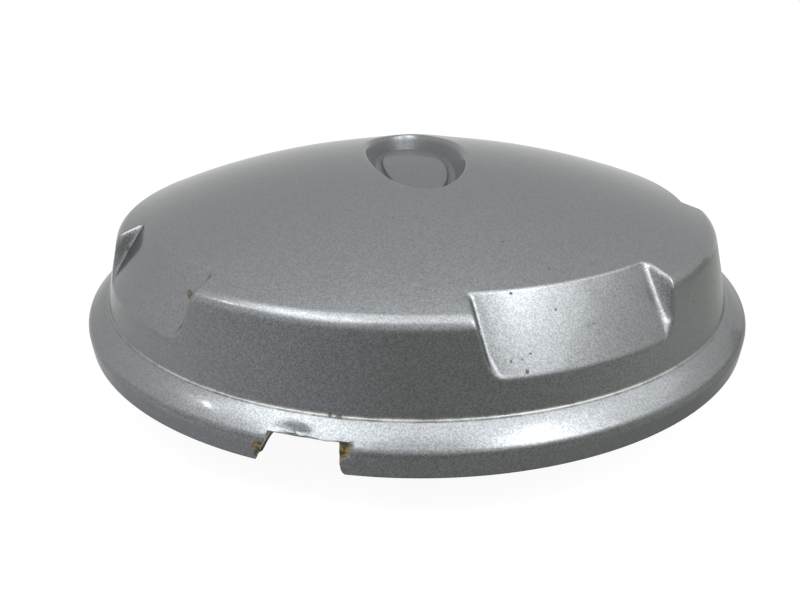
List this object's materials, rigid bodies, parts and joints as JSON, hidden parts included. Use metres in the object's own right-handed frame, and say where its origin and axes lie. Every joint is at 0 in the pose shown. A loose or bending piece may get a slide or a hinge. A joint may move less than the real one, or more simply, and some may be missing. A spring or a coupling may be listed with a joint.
{
  "type": "wheel centre cap",
  "caption": "Round domed wheel centre cap with shoulder pockets, a sloping rim, an oval emblem seat and clip legs inside.",
  "frame": {"origin": "centre of the rim's seating plane on the cap's axis, which is the centre of the wheel's hole at its front face", "axes": "+Z along the axis towards the dome; the pry notch faces -Y, turned 12.7 degrees towards -X"},
  "size_m": [0.15, 0.15, 0.0409],
  "materials": {
    "silver_paint": "silver metallic paint with fine flake on a moulded plastic shell"
  },
  "bodies": {
    "root": {"cap": "silver_paint"}
  },
  "joints": []
}
